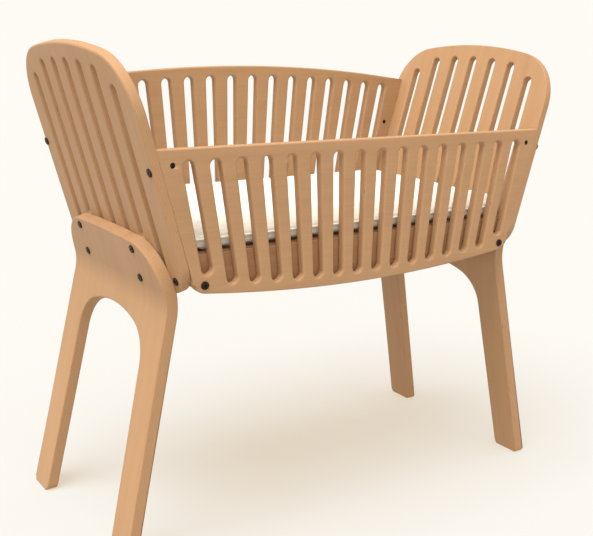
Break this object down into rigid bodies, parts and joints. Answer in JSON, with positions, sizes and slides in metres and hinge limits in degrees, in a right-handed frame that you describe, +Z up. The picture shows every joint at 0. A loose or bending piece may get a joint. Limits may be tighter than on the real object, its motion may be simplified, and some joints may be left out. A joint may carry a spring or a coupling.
{
  "type": "baby crib",
  "caption": "Free-standing plywood baby crib: slotted side and end panels that flare outward, bent-plywood leg frames with arches, and a lift-out mattress.",
  "frame": {"origin": "bottom centre, on the floor under the middle of the crib", "axes": "+X along the crib, +Z up, -Y towards the lower, straight-topped front side"},
  "size_m": [1.0366, 0.5018, 0.9416],
  "materials": {
    "plywood": "warm-toned birch plywood, oiled satin, ply layers showing on every edge",
    "bronze": "dark bronze-coated steel, satin",
    "steel": "zinc-plated, dull",
    "cotton": "off-white cotton cover, matt"
  },
  "bodies": {
    "frame": {"back_base_rail": "plywood", "back_side_panel": "plywood", "front_base_rail": "plywood", "front_side_panel": "plywood", "left_back_barrel_nut_lower": "bronze", "left_back_barrel_nut_upper": "bronze", "left_back_end_bolt_lower": "bronze", "left_back_end_bolt_upper": "bronze", "left_back_leg_bolt_lower": "bronze", "left_back_leg_bolt_upper": "bronze", "left_back_leg_insert_lower": "steel", "left_back_leg_insert_upper": "steel", "left_back_rail_bolt": "bronze", "left_back_rail_insert": "steel", "left_end_panel": "plywood", "left_front_barrel_nut_lower": "bronze", "left_front_barrel_nut_upper": "bronze", "left_front_end_bolt_lower": "bronze", "left_front_end_bolt_upper": "bronze", "left_front_leg_bolt_lower": "bronze", "left_front_leg_bolt_upper": "bronze", "left_front_leg_insert_lower": "steel", "left_front_leg_insert_upper": "steel", "left_front_rail_bolt": "bronze", "left_front_rail_insert": "steel", "left_leg_frame": "plywood", "mattress_board": "plywood", "right_back_barrel_nut_lower": "bronze", "right_back_barrel_nut_upper": "bronze", "right_back_end_bolt_lower": "bronze", "right_back_end_bolt_upper": "bronze", "right_back_leg_bolt_lower": "bronze", "right_back_leg_bolt_upper": "bronze", "right_back_leg_insert_lower": "steel", "right_back_leg_insert_upper": "steel", "right_back_rail_bolt": "bronze", "right_back_rail_insert": "steel", "right_end_panel": "plywood", "right_front_barrel_nut_lower": "bronze", "right_front_barrel_nut_upper": "bronze", "right_front_end_bolt_lower": "bronze", "right_front_end_bolt_upper": "bronze", "right_front_leg_bolt_lower": "bronze", "right_front_leg_bolt_upper": "bronze", "right_front_leg_insert_lower": "steel", "right_front_leg_insert_upper": "steel", "right_front_rail_bolt": "bronze", "right_front_rail_insert": "steel", "right_leg_frame": "plywood"},
    "mattress": {"mattress": "cotton"}
  },
  "joints": [
    {"name": "mattress_lift", "type": "slide", "parent": "frame", "child": "mattress", "axis": [0, 0, 1], "range_m": [0, 0.4]}
  ]
}
